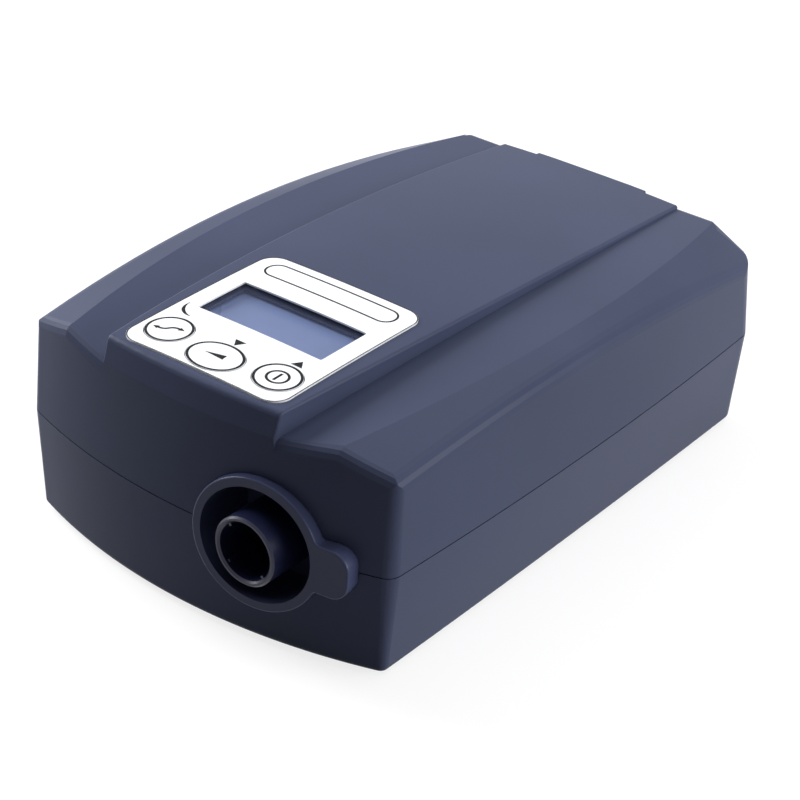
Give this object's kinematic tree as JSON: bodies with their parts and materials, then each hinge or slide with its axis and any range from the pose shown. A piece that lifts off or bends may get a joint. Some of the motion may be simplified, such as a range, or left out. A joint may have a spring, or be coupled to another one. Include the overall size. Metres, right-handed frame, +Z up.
{
  "type": "cpap machine",
  "caption": "Table-top breathing air machine: raised deck with display and press keys, front air outlet with grip ring, slotted pull-off filter cover behind, blower and boards inside.",
  "frame": {"origin": "middle of the whole part's footprint, on the surface that the feet stand on", "axes": "-Y towards the front with the air outlet, +X to the right seen from the front, +Z up"},
  "size_m": [0.145, 0.2236, 0.08],
  "materials": {
    "case_plastic": "satin moulded",
    "outlet_plastic": "satin moulded",
    "label_film": "printed film, satin",
    "key_film": "printed film, satin",
    "clear_pane": "clear, polished",
    "display_glass": "smooth",
    "pale_plastic": "moulded",
    "dark_plastic": "moulded",
    "circuit_board": "solder mask",
    "steel": "ground",
    "silicone": "soft",
    "foot_rubber": "soft, matt",
    "foam": "open cell foam",
    "filter_felt": "felted fibre",
    "aluminium": "extruded",
    "copper": "wound enamelled wire",
    "magnet": "coated"
  },
  "bodies": {
    "case": {"base_shell": "case_plastic", "blower_lower_housing": "pale_plastic", "blower_mounts": "silicone", "blower_upper_housing": "pale_plastic", "board_capacitors": "aluminium", "board_chips": "dark_plastic", "board_connectors": "pale_plastic", "board_screws": "steel", "buzzer": "dark_plastic", "case_screws": "steel", "display_bezel": "dark_plastic", "display_module": "display_glass", "display_window": "clear_pane", "filter_frame": "dark_plastic", "heat_spreader": "aluminium", "intake_box": "dark_plastic", "intake_filter": "filter_felt", "intake_foam": "foam", "intake_lid": "dark_plastic", "key_switches": "dark_plastic", "keypad_board": "circuit_board", "keypad_overlay": "label_film", "keypad_screws": "steel", "lower_bearing": "steel", "main_board": "circuit_board", "motor_coils": "copper", "motor_cup": "aluminium", "motor_stator": "steel", "outlet_ring": "case_plastic", "outlet_sleeve": "silicone", "outlet_tube": "outlet_plastic", "power_inlet": "dark_plastic", "pressure_sensor": "dark_plastic", "ribbon_cable": "pale_plastic", "rubber_feet": "foot_rubber", "sensing_hose": "silicone", "top_cover": "case_plastic", "upper_bearing": "steel"},
    "rotor": {"impeller": "pale_plastic", "motor_shaft": "steel", "rotor_magnet": "magnet"},
    "left_key": {"key_left": "key_film"},
    "middle_key": {"key_middle": "key_film"},
    "right_key": {"key_right": "key_film"},
    "filter_cover": {"filter_door": "case_plastic"}
  },
  "joints": [
    {"name": "left_key_press", "type": "slide", "parent": "case", "child": "left_key", "axis": [0, 0, -1], "range_m": [0, 0.0005], "stiffness_N_per_m": 1200, "springref_m": -0.0003},
    {"name": "middle_key_press", "type": "slide", "parent": "case", "child": "middle_key", "axis": [0, 0, -1], "range_m": [0, 0.0005], "stiffness_N_per_m": 1200, "springref_m": -0.0003},
    {"name": "right_key_press", "type": "slide", "parent": "case", "child": "right_key", "axis": [0, 0, -1], "range_m": [0, 0.0005], "stiffness_N_per_m": 1200, "springref_m": -0.0003},
    {"name": "rotor_spin", "type": "hinge", "parent": "case", "child": "rotor", "pos_m": [-0.0074, -0.0107, 0.0358], "axis": [0, 0, 1], "continuous": true},
    {"name": "filter_cover_pull", "type": "slide", "parent": "case", "child": "filter_cover", "axis": [0, 1, 0], "range_m": [0, 0.014]}
  ]
}
